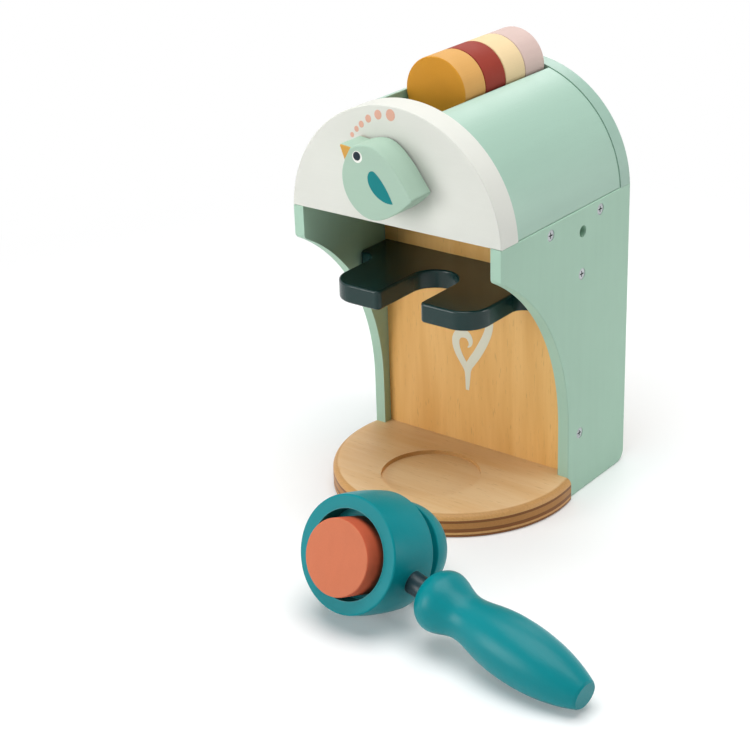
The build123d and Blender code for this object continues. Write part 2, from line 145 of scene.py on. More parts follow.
def new_group(name, inputs, outputs):
    """An empty shader group with named sockets. Gives the group, its input node and its output node."""
    group = bpy.data.node_groups.new(name, "ShaderNodeTree")
    for label, kind, value in inputs:
        socket = group.interface.new_socket(label, in_out="INPUT", socket_type=kind)
        if value is not None:
            socket.default_value = value
    for label, kind in outputs:
        group.interface.new_socket(label, in_out="OUTPUT", socket_type=kind)
    return group, group.nodes.new("NodeGroupInput").outputs, group.nodes.new("NodeGroupOutput").inputs


def use_group(tree, group, **inputs):
    """A copy of a group in a material. Underscores in the names stand for spaces."""
    made = add(tree, "ShaderNodeGroup", node_tree=group)
    for label, value in inputs.items():
        socket = made.inputs[label.replace("_", " ")]
        if isinstance(value, bpy.types.NodeSocket):
            tree.links.new(value, socket)
        else:
            socket.default_value = value
    return made.outputs


print("helpers ready")

# %% [markdown]
# # Wood grain
#
# Every piece of this toy is wood, bare, lacquered or painted, so one node group makes the grain
# for all of them. Wood fibres are long and thin. The trick is to squeeze space along the fibres
# before it reaches a noise texture: blobs that were round come out as streaks. The grain runs
# along the group's own Z, and each material turns its coordinates to suit the board. It gives out
# three things: the fine fibre, the wide bands of the growth rings, and the short dark pores,
# together with a height for the bump.

# %% Group: wood grain
wood_grain, given, result = new_group(
    "wood grain",
    [("Vector", VECTOR, None), ("Fibres", FLOAT, 1500.0), ("Bands", FLOAT, 120.0)],
    [("Fibre", FLOAT), ("Band", FLOAT), ("Pores", FLOAT), ("Height", FLOAT)])
slow = noise(wood_grain, given["Vector"], 9.0)
swayed = vector_sums(wood_grain, "MULTIPLY_ADD", slow, (0.010, 0.006, 0.0), given["Vector"])
fibre_space = vector_sums(wood_grain, "MULTIPLY", given["Vector"], (1.0, 1.0, 0.03))
band_space = vector_sums(wood_grain, "MULTIPLY", swayed, (1.0, 1.0, 0.10))
pore_space = vector_sums(wood_grain, "MULTIPLY", given["Vector"], (1.0, 1.0, 0.11))
fibre = noise(wood_grain, fibre_space, given["Fibres"], 3.0, 0.65)
band = noise(wood_grain, band_space, given["Bands"], 3.0, 0.55)
pore = noise(wood_grain, pore_space, given["Fibres"], 1.0, 0.5)
pores = between(wood_grain, pore, 0.66, 0.76)
height = sums(wood_grain, "MULTIPLY_ADD", pores, -0.6, fibre)
wood_grain.links.new(between(wood_grain, fibre, 0.3, 0.7), result["Fibre"])
wood_grain.links.new(between(wood_grain, band, 0.35, 0.65), result["Band"])
wood_grain.links.new(pores, result["Pores"])
wood_grain.links.new(height, result["Height"])
print("wood grain:", len(wood_grain.nodes), "nodes")

# %% [markdown]
# # A skin of paint
#
# Water-based paint sprayed on wood isn't perfectly even. From close by it has a fine pebbled
# surface, and over a few centimetres its tone and its gloss drift a little where it was sanded or
# handled. A second group gives these: a slow tone, a gloss that changes patch by patch, and a
# fine height.

# %% Group: paint skin
paint_skin, given, result = new_group(
    "paint skin",
    [("Vector", VECTOR, None), ("Pebble", FLOAT, 900.0)],
    [("Tone", FLOAT), ("Gloss", FLOAT), ("Height", FLOAT)])
clouds = noise(paint_skin, given["Vector"], 14.0, 3.0, 0.6)
handled = noise(paint_skin, given["Vector"], 46.0, 4.0, 0.65)
pebbles = noise(paint_skin, given["Vector"], given["Pebble"], 2.0, 0.5)
paint_skin.links.new(between(paint_skin, clouds, 0.35, 0.65), result["Tone"])
paint_skin.links.new(between(paint_skin, handled, 0.35, 0.68), result["Gloss"])
paint_skin.links.new(pebbles, result["Height"])
print("paint skin:", len(paint_skin.nodes), "nodes")

# %% [markdown]
# Edge highlights and wear
#
# Edges get a lighter colour: mostly a painted highlight along them, and partly wear, since paint is
# thinnest there and small hands rub it. Cycles can find edges: the Bevel node gives the normal
# that the surface would have if its corners were rounded, and where that differs from the true
# normal there is an edge. A noise breaks the line up, so that it isn't a drawn outline.

# %% Group: edge highlight and wear
edge_highlight_and_wear, given, result = new_group(
    "edge highlight and wear",
    [("Vector", VECTOR, None), ("Width", FLOAT, 0.0012), ("Patchy", FLOAT, 0.5)],
    [("Edge", FLOAT)])
rounded = add(edge_highlight_and_wear, "ShaderNodeBevel", {"Radius": given["Width"]}, samples=6).outputs[0]
true_normal = add(edge_highlight_and_wear, "ShaderNodeNewGeometry").outputs["Normal"]
agreement = vector_sums(edge_highlight_and_wear, "DOT_PRODUCT", rounded, true_normal, output="Value")
bend = between(edge_highlight_and_wear, agreement, 0.985, 0.80)
patches = between(edge_highlight_and_wear, noise(edge_highlight_and_wear, given["Vector"], 160.0, 4.0, 0.7), 0.35, 0.62)
broken = sums(edge_highlight_and_wear, "MULTIPLY", bend, patches)
kept = sums(edge_highlight_and_wear, "SUBTRACT", 1.0, given["Patchy"])
unbroken = sums(edge_highlight_and_wear, "MULTIPLY", bend, kept)
# The edge mask, used for a painted highlight along edges that also stands for wear.
edge = sums(edge_highlight_and_wear, "MULTIPLY_ADD", broken, given["Patchy"], unbroken)
edge_highlight_and_wear.links.new(edge, result["Edge"])
print("edge highlight and wear:", len(edge_highlight_and_wear.nodes), "nodes")

# %% [markdown]
# # Plies
#
# Plywood is a stack of thin sheets, each glued across the next. On its cut edge that shows as
# stripes: a sheet seen along its fibres is pale, and the next shows its end grain and is browner.
# The stripes are uneven, because the outer sheets are sanded and the inner ones swell with glue.
# A colour ramp holds them: each stop is a height in the board, from 0 at its low face to 1 at its
# high face, and the colour that starts there. A slow noise lets the joints wander a little.

# %% Group: plies
PALE_PLY = (0.62, 0.34, 0.12, 1.0)
TAN_PLY = (0.44, 0.205, 0.055, 1.0)
BROWN_PLY = (0.22, 0.078, 0.018, 1.0)
GLUE = (0.16, 0.065, 0.022, 1.0)
LAYERS = [(0.0, BROWN_PLY), (0.10, GLUE), (0.125, PALE_PLY), (0.225, BROWN_PLY), (0.36, GLUE),
          (0.38, TAN_PLY), (0.635, GLUE), (0.66, BROWN_PLY), (0.725, GLUE), (0.745, PALE_PLY)]

plies, given, result = new_group(
    "plies",
    [("Vector", VECTOR, None), ("Height", FLOAT, 0.0)],
    [("Layer", COLOUR)])
wander = noise(plies, given["Vector"], 40.0)
height = sums(plies, "ADD", sums(plies, "MULTIPLY_ADD", wander, 0.05, -0.025), given["Height"])
stack = add(plies, "ShaderNodeValToRGB", {"Fac": height})
for index, (start, colour) in enumerate(LAYERS):
    ramp = stack.color_ramp.elements
    stop = ramp[index] if index < 2 else ramp.new(start)
    stop.position, stop.color = start, colour
stack.color_ramp.interpolation = "CONSTANT"
plies.links.new(stack.outputs["Color"], result["Layer"])
print("plies:", len(LAYERS), "stops")

# %% [markdown]
# # Turning the grain
#
# A board cut from a plank has its grain along the plank, and a turned handle has it along the
# handle. Object coordinates are the piece's own metres, and they travel with it when it moves. A
# Mapping node turns them so that the wanted direction lies along Z, where the grain group expects
# it.

# %% Helper: coordinates with the grain along Z
def grain_space(tree, along):
    """Object coordinates, turned so that the direction along becomes Z."""
    turn = Vector(along).rotation_difference(Vector((0, 0, 1))).to_euler()
    place = add(tree, "ShaderNodeTexCoord").outputs["Object"]
    return add(tree, "ShaderNodeMapping", {"Vector": place, "Rotation": tuple(turn)}).outputs[0]


def facing(tree, direction, low=0.55, high=0.8):
    """1 on faces that look along a direction or against it, and 0 on the others."""
    normal = add(tree, "ShaderNodeTexCoord").outputs["Normal"]
    turned = vector_sums(tree, "DOT_PRODUCT", normal, tuple(direction), output="Value")
    return between(tree, sums(tree, "ABSOLUTE", turned), low, high)


def new_material(name):
    """A material with its Principled shader, ready to be wired."""
    made = bpy.data.materials.new(name)
    made.use_nodes = True
    return made, made.node_tree, made.node_tree.nodes["Principled BSDF"]


def lighter(colour, share):
    """A colour moved towards white by a share of the way."""
    return tuple(part + (1 - part) * share for part in colour[:3]) + (1.0,)


quarter_turn = Vector((1, 0, 0)).rotation_difference(Vector((0, 0, 1))).angle
print("grain along X turns by", round(math.degrees(quarter_turn)), "degrees")

# %% [markdown]
# # Painted wood
#
# One function makes every painted finish. The colour starts from the paint itself. The bands and
# fibres of the wood below darken it a little, the slow tone moves it, and edges are lightened by a
# painted highlight that stands partly for wear.
# The roughness follows the handled patches, and the fibres and pebbles lift the surface by less
# than a tenth of a millimetre. A piece can get a second colour on the faces that look along one
# direction; the capsules use it for painted light and shade on their rims.

# %% Painted wood
def painted(name, colour, along=(0, 0, 1), roughness=0.55, shine=0.15, grain=0.10, highlight_and_wear=0.25,
            ends=None, end_axis=None):
    """Painted wood with its grain along a direction. The faces that look along end_axis can differ."""
    made, tree, shader = new_material(name)
    space = grain_space(tree, along)
    wood = use_group(tree, wood_grain, Vector=space)
    skin = use_group(tree, paint_skin, Vector=space)
    edge = use_group(tree, edge_highlight_and_wear, Vector=space)
    paint = tuple(colour) + (1.0,)
    if ends:
        paint = mixed(tree, facing(tree, end_axis), paint, tuple(ends) + (1.0,))
    shadowed = mixed(tree, 1.0, paint, (0.80, 0.80, 0.80, 1.0), "MULTIPLY")
    banded = mixed(tree, sums(tree, "MULTIPLY", wood["Band"], grain), paint, shadowed)
    streaked = mixed(tree, sums(tree, "MULTIPLY", wood["Fibre"], grain), banded, shadowed)
    raised = mixed(tree, 1.0, streaked, (1.25, 1.25, 1.25, 1.0), "MULTIPLY")
    drifted = mixed(tree, sums(tree, "MULTIPLY", skin["Tone"], 0.5 * grain + 0.04), streaked, raised)
    # Lighter edges: a painted highlight, partly wear.
    highlit_and_rubbed = mixed(tree, sums(tree, "MULTIPLY", edge["Edge"], highlight_and_wear), drifted, lighter(colour, 0.35))
    height = sums(tree, "MULTIPLY_ADD", wood["Height"], 0.7, sums(tree, "MULTIPLY", skin["Height"], 0.3))
    bump = add(tree, "ShaderNodeBump", {"Height": height, "Strength": 0.35, "Distance": 0.00025})
    tree.links.new(highlit_and_rubbed, shader.inputs["Base Color"])
    gloss = between(tree, skin["Gloss"], 0.0, 1.0, 0.92 * roughness, 1.1 * roughness)
    tree.links.new(gloss, shader.inputs["Roughness"])
    tree.links.new(bump.outputs[0], shader.inputs["Normal"])
    shader.inputs["Specular IOR Level"].default_value = shine
    return made


AXIS_X, AXIS_Y, AXIS_Z = (1, 0, 0), (0, 1, 0), (0, 0, 1)
MINT = (0.395, 0.585, 0.465)
# The roof's and the rear board's mint are darker copies of the same mint paint: painted shade, so that
# these boards come out darker than the side panels.
ROOF_MINT_SHADED = (0.305, 0.485, 0.385)
REAR_MINT_SHADED = (0.265, 0.43, 0.345)
BIRD_MINT = (0.385, 0.535, 0.43)
WHITE = (0.70, 0.705, 0.65)
NIGHT_TEAL = (0.006, 0.031, 0.029)
NEAR_BLACK = (0.010, 0.030, 0.038)
TEAL = (0.002, 0.222, 0.250)
mint_paint = painted("mint paint", MINT)
roof_paint = painted("mint paint on the roof", ROOF_MINT_SHADED, AXIS_Y, roughness=0.34, shine=0.9)
rear_paint = painted("mint paint on the rear board", REAR_MINT_SHADED, roughness=0.36, shine=0.9)
bird_paint = painted("bird paint", BIRD_MINT, AXIS_X)
white_paint = painted("white paint", WHITE, AXIS_X, grain=0.05)
fork_paint = painted("night teal paint", NIGHT_TEAL, AXIS_X, roughness=0.2, shine=0.35, highlight_and_wear=0.05)
teal_paint = painted("teal paint", TEAL, roughness=0.34, shine=0.1, highlight_and_wear=0.3)
neck_paint = painted("near-black paint", NEAR_BLACK, AXIS_X, roughness=0.3, shine=0.3)
print(len(bpy.data.materials), "materials so far")

# %% [markdown]
# # The capsules' paints
#
# The drink capsules are thick wooden discs. Each has its own colour, and the rim gets a colour
# apart from the flat ends: painted light and shade for the way the light falls on the capsule's
# side. The pod in the portafilter lies askew, so its flat ends are found along the line on which
# it slides out.

# %% Capsule paints
pod_axis = Vector(next(joint["axis"] for joint in frame["joints"] if joint["name"] == "pod_slide"))
# Each capsule's rim colour holds painted light and shade for its side; the second colour is for its flat
# ends.
CAPSULES = {
    "capsule_ochre": ((0.66, 0.36, 0.11), (0.66, 0.29, 0.026)),
    "capsule_red": ((0.28, 0.038, 0.024), (0.24, 0.027, 0.016)),
    "capsule_cream": ((0.80, 0.62, 0.36), (0.76, 0.57, 0.30)),
    "capsule_pink": ((0.64, 0.485, 0.44), (0.62, 0.45, 0.41)),
}
# The pod's rim colour is painted light and shade on its side too.
CORAL_RIM, CORAL_ENDS = (0.61, 0.118, 0.054), (0.565, 0.165, 0.08)
capsule_paints = {}
for name, (rim, ends) in CAPSULES.items():
    label = name.replace("capsule_", "") + " capsule paint"
    capsule_paints[name] = painted(label, rim, AXIS_Y, roughness=0.6, grain=0.16, highlight_and_wear=0.2,
                                   ends=ends, end_axis=AXIS_Y)
pod_paint = painted("coral pod paint", CORAL_RIM, AXIS_Z, roughness=0.6, grain=0.2, highlight_and_wear=0.2,
                    ends=CORAL_ENDS, end_axis=pod_axis)
print(sorted(capsule_paints))

# %% [markdown]
# # Birch plywood
#
# The back and the base are plywood under a honey-coloured lacquer. On its faces the grain shows
# as bands, fibres and short dark pores. Where the board was cut or rounded over, the plies show
# instead. A mask made from the surface normal picks one or the other.

# %% Birch plywood
PORE_BROWN = (0.36, 0.18, 0.06, 1.0)
# A paler ply colour for the edges: a painted highlight, partly wear.
HIGHLIT_RUBBED_PLY = (0.74, 0.50, 0.26, 1.0)


def plywood(name, along, through, low, high, pale, deep):
    """Plywood with its faces square to the direction through, between two distances along it."""
    made, tree, shader = new_material(name)
    space = grain_space(tree, along)
    wood = use_group(tree, wood_grain, Vector=space, Fibres=1100.0, Bands=70.0)
    skin = use_group(tree, paint_skin, Vector=space)
    edge = use_group(tree, edge_highlight_and_wear, Vector=space)
    face = mixed(tree, wood["Band"], pale, deep)
    face = mixed(tree, sums(tree, "MULTIPLY", wood["Fibre"], 0.3), face, deep)
    face = mixed(tree, sums(tree, "MULTIPLY", wood["Pores"], 0.3), face, PORE_BROWN)
    place = add(tree, "ShaderNodeTexCoord").outputs["Object"]
    depth = vector_sums(tree, "DOT_PRODUCT", place, tuple(through), output="Value")
    stack = use_group(tree, plies, Vector=space, Height=between(tree, depth, low, high))
    layer = mixed(tree, sums(tree, "MULTIPLY", wood["Fibre"], 0.25), stack["Layer"], BROWN_PLY)
    colour = mixed(tree, facing(tree, through, 0.93, 0.99), layer, face)
    # Lighter colour on the edges: a painted highlight, partly wear.
    colour = mixed(tree, sums(tree, "MULTIPLY", edge["Edge"], 0.15), colour, HIGHLIT_RUBBED_PLY)
    bump = add(tree, "ShaderNodeBump", {"Height": wood["Height"], "Strength": 0.3, "Distance": 0.0002})
    tree.links.new(colour, shader.inputs["Base Color"])
    tree.links.new(between(tree, skin["Gloss"], 0.0, 1.0, 0.36, 0.48), shader.inputs["Roughness"])
    tree.links.new(bump.outputs[0], shader.inputs["Normal"])
    shader.inputs["Specular IOR Level"].default_value = 0.25
    return made


base_low, base_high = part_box("base_disc")
back_low, back_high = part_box("back_panel")
# The base's plywood colours are paler than the back's: painted light, making up for the light that the
# roof keeps off the base.
base_ply = plywood("birch plywood base", AXIS_X, AXIS_Z, base_low.z, base_high.z,
                   (0.88, 0.63, 0.36, 1.0), (0.79, 0.50, 0.235, 1.0))
back_ply = plywood("birch plywood back", AXIS_Z, AXIS_Y, back_low.y, back_high.y,
                   (0.88, 0.53, 0.19, 1.0), (0.77, 0.42, 0.125, 1.0))
base_thickness, back_thickness = base_high.z - base_low.z, back_high.y - back_low.y
print("plywood of", round(base_thickness / MM, 1), "and", round(back_thickness / MM, 1), "mm")

# %% [markdown]
# # Bare beech, zinc and nylon
#
# A few small pieces aren't painted. Dowels and the knob's axle are bare beech, screws are zinc
# plated, and a nylon ring keeps the knob off the board. Zinc is a metal, so its colour sits in
# the reflection, and a noise squeezed along one axis gives it the fine lines of the press tool.
# The cross and the ring round the head get painted shade, nearly black where little of the sky is
# seen: the Ambient Occlusion node finds such corners.

# %% Bare beech, zinc and nylon
def bare_wood(name, along):
    """Beech without a finish."""
    made, tree, shader = new_material(name)
    wood = use_group(tree, wood_grain, Vector=grain_space(tree, along), Fibres=1800.0)
    colour = mixed(tree, wood["Band"], (0.76, 0.56, 0.37, 1.0), (0.62, 0.42, 0.25, 1.0))
    colour = mixed(tree, sums(tree, "MULTIPLY", wood["Pores"], 0.5), colour, (0.36, 0.2, 0.1, 1.0))
    bump = add(tree, "ShaderNodeBump", {"Height": wood["Height"], "Strength": 0.4, "Distance": 0.0002})
    tree.links.new(colour, shader.inputs["Base Color"])
    tree.links.new(between(tree, wood["Fibre"], 0.0, 1.0, 0.55, 0.72), shader.inputs["Roughness"])
    tree.links.new(bump.outputs[0], shader.inputs["Normal"])
    return made


def zinc_plate():
    """Plated steel, with painted shade in its corners and a painted highlight on its edges."""
    made, tree, shader = new_material("zinc plate")
    place = add(tree, "ShaderNodeTexCoord").outputs["Object"]
    skin = use_group(tree, paint_skin, Vector=place, Pebble=2500.0)
    edge = use_group(tree, edge_highlight_and_wear, Vector=place, Width=0.0004)
    brushed = noise(tree, vector_sums(tree, "MULTIPLY", place, (1.0, 1.0, 0.05)), 4000.0)
    corners = add(tree, "ShaderNodeAmbientOcclusion", {"Distance": 0.0016}, samples=8).outputs["AO"]
    colour = mixed(tree, skin["Gloss"], (0.36, 0.39, 0.40, 1.0), (0.50, 0.53, 0.54, 1.0))
    # Painted highlight along the edges of the head.
    colour = mixed(tree, edge["Edge"], colour, (0.70, 0.72, 0.73, 1.0))
    # Painted shade: nearly black in the cross and round the head, where the Ambient Occlusion node finds
    # corners.
    colour = mixed(tree, between(tree, corners, 0.45, 0.95), (0.05, 0.075, 0.07, 1.0), colour)
    height = sums(tree, "MULTIPLY_ADD", skin["Height"], 0.5, brushed)
    bump = add(tree, "ShaderNodeBump", {"Height": height, "Strength": 0.3, "Distance": 0.00005})
    tree.links.new(colour, shader.inputs["Base Color"])
    tree.links.new(between(tree, brushed, 0.3, 0.7, 0.24, 0.40), shader.inputs["Roughness"])
    tree.links.new(bump.outputs[0], shader.inputs["Normal"])
    shader.inputs["Metallic"].default_value = 1.0
    return made


def natural_nylon():
    """Off-white plastic with a faint skin."""
    made, tree, shader = new_material("natural nylon")
    skin = use_group(tree, paint_skin, Vector=add(tree, "ShaderNodeTexCoord").outputs["Object"])
    colour = mixed(tree, skin["Tone"], (0.80, 0.79, 0.75, 1.0), (0.86, 0.86, 0.83, 1.0))
    bump = add(tree, "ShaderNodeBump", {"Height": skin["Height"], "Strength": 0.2, "Distance": 0.0001})
    tree.links.new(colour, shader.inputs["Base Color"])
    tree.links.new(between(tree, skin["Gloss"], 0.0, 1.0, 0.4, 0.5), shader.inputs["Roughness"])
    tree.links.new(bump.outputs[0], shader.inputs["Normal"])
    return made


beech_upright = bare_wood("bare beech, upright", AXIS_Z)
beech_rod = bare_wood("bare beech rod", AXIS_Y)
zinc = zinc_plate()
nylon = natural_nylon()
print(len(bpy.data.materials), "materials")

# %% [markdown]
# # The handle's grain
#
# The portafilter lies askew on the floor, so no axis of the room runs along its handle. The
# handle's own vertices say where it points: the direction in which they spread the most. A
# singular value decomposition finds that direction in one line.

# %% Find the handle's direction
def long_axis(node):
    """The direction in which a piece's vertices spread the most."""
    corners = np.array([vertex.co for vertex in nodes[node].data.vertices])
    directions = np.linalg.svd(corners - corners.mean(axis=0), full_matrices=False)[2]
    return Vector(directions[0])


handle_axis = long_axis("portafilter_handle")
handle_paint = painted("teal paint on the handle", TEAL, handle_axis, roughness=0.30, shine=0.16,
                       highlight_and_wear=0.08)
print("the handle points along", [round(part, 3) for part in handle_axis])

# %% [markdown]
# # Give every piece its finish
#
# The construction meshes have the right shape, so they stay as they are and only their material
# changes.

# %% Assign the finishes
FINISHES = {
    "left_side_panel": mint_paint,
    "right_side_panel": mint_paint,
    "front_fascia": white_paint,
    "rear_arch_board": rear_paint,
    "roof_shell_left": roof_paint,
    "roof_shell_right": roof_paint,
    "slot_wall_left": roof_paint,
    "slot_wall_right": roof_paint,
    "slot_floor": roof_paint,
    "roof_cleat_left": roof_paint,
    "roof_cleat_right": roof_paint,
    "back_panel": back_ply,
    "base_disc": base_ply,
    "portafilter_fork": fork_paint,
    "cleat_screws": zinc,
    "back_panel_screws": zinc,
    "fork_screws": zinc,
    "base_screws": zinc,
    "arch_dowels": beech_upright,
    "bird_knob": bird_paint,
    "knob_spacer": nylon,
    "knob_axle": beech_rod,
    "knob_washer": zinc,
    "knob_screw": zinc,
    "portafilter_head": teal_paint,
    "portafilter_foot": teal_paint,
    "portafilter_neck": neck_paint,
    "portafilter_handle": handle_paint,
    "portafilter_pod": pod_paint,
}
FINISHES.update(capsule_paints)
for name, finish in FINISHES.items():
    nodes[name].material_slots[0].material = finish
print("pieces without a finish:", sorted(set(nodes) - set(FINISHES)))

# %% [markdown]
# # Printed films
#
# The dots of the dial, the steam and the bird's eye and wing are screen prints: a film of ink
# about a tenth of a millimetre thick. They are made as real films, because a printed edge stays
# crisp from any distance. Each film starts as a flat outline in X and Z that looks to the front,
# is drawn out to its thickness, and has its front edge eased.

# %% Helper: a film of ink
def film(name, outlines, face_y, thickness, body, finish):
    """A thin solid in front of the plane Y = face_y, from outlines of (x, z) points in metres."""
    shape = bmesh.new()
    for outline in outlines:
        corners = [shape.verts.new((x, face_y, z)) for x, z in outline]
        shape.faces.new(corners)
    bmesh.ops.recalc_face_normals(shape, faces=shape.faces)
    for face in shape.faces:
        if face.normal.y > 0:
            face.normal_flip()
    raised = bmesh.ops.extrude_face_region(shape, geom=shape.faces[:], use_keep_orig=True)
    moved = [item for item in raised["geom"] if isinstance(item, bmesh.types.BMVert)]
    bmesh.ops.translate(shape, verts=moved, vec=(0, -thickness, 0))
    bmesh.ops.recalc_face_normals(shape, faces=shape.faces)
    front_y = face_y - thickness
    rim = [e for e in shape.edges if all(abs(v.co.y - front_y) < 1e-7 for v in e.verts)]
    eased = 0.45 * thickness
    bmesh.ops.bevel(shape, geom=rim, offset=eased, segments=2, profile=0.5, affect="EDGES")
    bmesh.ops.triangulate(shape, faces=[f for f in shape.faces if len(f.verts) > 4])
    mesh = bpy.data.meshes.new(name)
    shape.to_mesh(mesh)
    shape.free()
    mesh.materials.append(finish)
    made = bpy.data.objects.new(name, mesh)
    bpy.context.scene.collection.objects.link(made)
    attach(made, body)
    return made


def circle(x, z, radius, corners=40, squeeze=1.0):
    """A round outline, or an upright oval when its width is squeezed."""
    turns = [2 * math.pi * step / corners for step in range(corners)]
    return [(x + squeeze * radius * math.cos(turn), z + radius * math.sin(turn)) for turn in turns]


def ink(name, colour, roughness=0.5):
    """A printed colour: opaque, a little uneven, with a fine tooth."""
    return painted(name, colour, roughness=roughness, grain=0.06, highlight_and_wear=0.1)


INK_THICKNESS = 0.12 * MM
print("ink is", INK_THICKNESS / MM, "mm thick")

# %% [markdown]
# # The dial's dots
#
# Six salmon dots rise round the knob and grow as they go, the way a dial shows more and more.
# They lie on an arc that opens slowly, so an angle, a distance from the knob's axis and a size
# say all about each.

# %% Dial dots
knob_joint = next(joint for joint in frame["joints"] if joint["name"] == "knob_turn")
knob_x, _, knob_z = knob_joint["pos_m"]
DOTS = [(145.9, 35.5, 1.65), (136.9, 35.3, 1.9), (128.5, 35.3, 2.15), (117.3, 35.9, 2.5),
        (104.1, 36.6, 3.0), (89.2, 36.6, 3.7)]  # degrees, then mm from the knob's axis, then mm
outlines = []
for angle, distance, radius in DOTS:
    x = knob_x + distance * MM * math.cos(math.radians(angle))
    z = knob_z + distance * MM * math.sin(math.radians(angle))
    outlines.append(circle(x, z, radius * MM, squeeze=0.9))
salmon = ink("salmon ink", (0.72, 0.40, 0.30))
fascia_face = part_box("front_fascia")[0].y
dots = film("dial_dots", outlines, fascia_face, INK_THICKNESS, "machine", salmon)
print(dots.name, "has", len(dots.data.polygons), "faces")

# %% [markdown]
# # The bird's eye, wing and beak
#
# The wing is a drop with one sharp tip, drawn with three Bezier stretches. Each stretch is a
# start, two handles and an end, as in a drawing program. The eye is a white disc with a dark
# pupil a little above its centre. The beak isn't a film: it is a second colour in the bird's own
# material, beyond a slanting line and only on the face that looks to the front.

# %% Eye and wing
def bezier_outline(stretches, steps=14):
    """A closed outline of (x, z) points from Bezier stretches in millimetres about the knob's axis."""
    points = []
    for stretch in stretches:
        corners = [Vector((knob_x + x * MM, knob_z + z * MM, 0)) for x, z in stretch]
        points += [(p.x, p.y) for p in geometry.interpolate_bezier(*corners, steps)[:-1]]
    return points


WING = [((16.0, -10.9), (8.0, -13.0), (-2.6, -5.5), (-2.5, 2.4)),
        ((-2.5, 2.4), (-2.4, 6.2), (0.6, 8.6), (3.3, 6.6)),
        ((3.3, 6.6), (8.5, 2.6), (13.0, -4.0), (16.0, -10.9))]
EYE_RADIUS, PUPIL_RADIUS = 3.7 * MM, 2.75 * MM
bird_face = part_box("bird_knob")[0].y
eye_x, eye_z = knob_x - 9.8 * MM, knob_z + 14.4 * MM
wing_outline = bezier_outline(WING)
eye_outline = circle(eye_x, eye_z, EYE_RADIUS)
pupil_outline = circle(eye_x - 0.2 * MM, eye_z + 0.5 * MM, PUPIL_RADIUS)
teal_ink = ink("teal ink", (0.001, 0.20, 0.21))
white_ink = ink("white ink", (0.85, 0.85, 0.80))
dark_ink = ink("dark ink", (0.008, 0.02, 0.03), 0.35)
film("bird_wing", [wing_outline], bird_face, INK_THICKNESS, "knob", teal_ink)
film("bird_eye_white", [eye_outline], bird_face, INK_THICKNESS, "knob", white_ink)
film("bird_pupil", [pupil_outline], bird_face - INK_THICKNESS, INK_THICKNESS, "knob", dark_ink)
print("the bird's face is at y =", round(bird_face / MM, 2), "mm")

# %% Beak
def paint_beak(material, colour, corners):
    """A second colour on the side of the line between two corners where the beak is."""
    tree = material.node_tree
    shader = tree.nodes["Principled BSDF"]
    under = shader.inputs["Base Color"].links[0].from_socket
    (x_from, z_from), (x_to, z_to) = corners
    across = Vector((z_from - z_to, 0, x_to - x_from)).normalized()
    place = add(tree, "ShaderNodeTexCoord").outputs["Object"]
    start = (knob_x + x_from * MM, 0, knob_z + z_from * MM)
    from_line = vector_sums(tree, "SUBTRACT", place, start)
    side = vector_sums(tree, "DOT_PRODUCT", from_line, tuple(across), output="Value")
    beyond = between(tree, side, -0.05 * MM, 0.05 * MM)
    beak = sums(tree, "MULTIPLY", beyond, facing(tree, AXIS_Y, 0.5, 0.8))
    tree.links.new(mixed(tree, beak, under, tuple(colour) + (1.0,)), shader.inputs["Base Color"])


paint_beak(bird_paint, (0.61, 0.325, 0.065), [(-19.9, 10.7), (-14.5, 19.8)])
print("beak painted")

# %% [markdown]
# # Steam
#
# The steam on the back board is two strokes of a broad brush that leave one stem. A stroke is a
# line of points with a width at each. A smooth curve is run through them, and its outline lies
# half a width to each side. The strokes cross at the stem, so the second film is a little thinner
# and their front faces never coincide.

# %% Steam
def smooth_line(points, steps=10):
    """A Catmull-Rom curve through points of any length."""
    ends = [points[0]] + list(points) + [points[-1]]
    line = []
    for a, b, c, d in zip(ends, ends[1:], ends[2:], ends[3:]):
        a, b, c, d = (np.array(p, float) for p in (a, b, c, d))
        for t in np.linspace(0, 1, steps, endpoint=False):
            line.append(0.5 * (2 * b + (c - a) * t + (2 * a - 5 * b + 4 * c - d) * t ** 2
                               + (3 * b - a - 3 * c + d) * t ** 3))
    return line + [np.array(points[-1], float)]


def brush_stroke(points):
    """An outline from (x, z, width) points in millimetres."""
    line = smooth_line(points)
    left, right_side = [], []
    for index, (x, z, width) in enumerate(line):
        ahead = line[min(index + 1, len(line) - 1)]
        behind = line[max(index - 1, 0)]
        run = Vector((ahead[0] - behind[0], ahead[1] - behind[1])).normalized() * width / 2
        left.append(((x - run.y) * MM, (z + run.x) * MM))
        right_side.append(((x + run.y) * MM, (z - run.x) * MM))
    return left + right_side[::-1]


STEAM_LEFT = [(-5.2, 56.0, 2.6), (-4.8, 67.8, 4.6), (-5.6, 72.0, 5.2), (-8.7, 76.6, 5.2),
              (-11.9, 81.6, 5.5), (-14.0, 87.0, 5.8), (-14.2, 92.0, 6.0), (-12.2, 95.8, 6.2),
              (-9.0, 97.3, 6.4), (-5.6, 97.0, 5.9), (-3.2, 95.0, 4.9), (-2.2, 92.0, 3.6),
              (-2.8, 89.4, 2.0), (-4.6, 87.8, 0.6)]
STEAM_RIGHT = [(-4.8, 66.0, 3.0), (-4.0, 73.1, 5.4), (-1.1, 78.3, 6.2), (2.8, 84.0, 6.4),
               (7.0, 91.2, 6.4), (10.4, 98.0, 6.2), (12.7, 104.5, 6.0), (13.4, 111.5, 5.8),
               (11.6, 119.0, 5.4), (6.4, 125.0, 4.8), (3.6, 130.5, 3.6), (6.0, 134.6, 2.2),
               (10.0, 134.4, 0.6)]
STEAM_FILMS = [("steam_print", STEAM_LEFT, INK_THICKNESS),
               ("steam_print_branch", STEAM_RIGHT, 0.8 * INK_THICKNESS)]
cream_ink = ink("cream ink", (0.74, 0.73, 0.60))
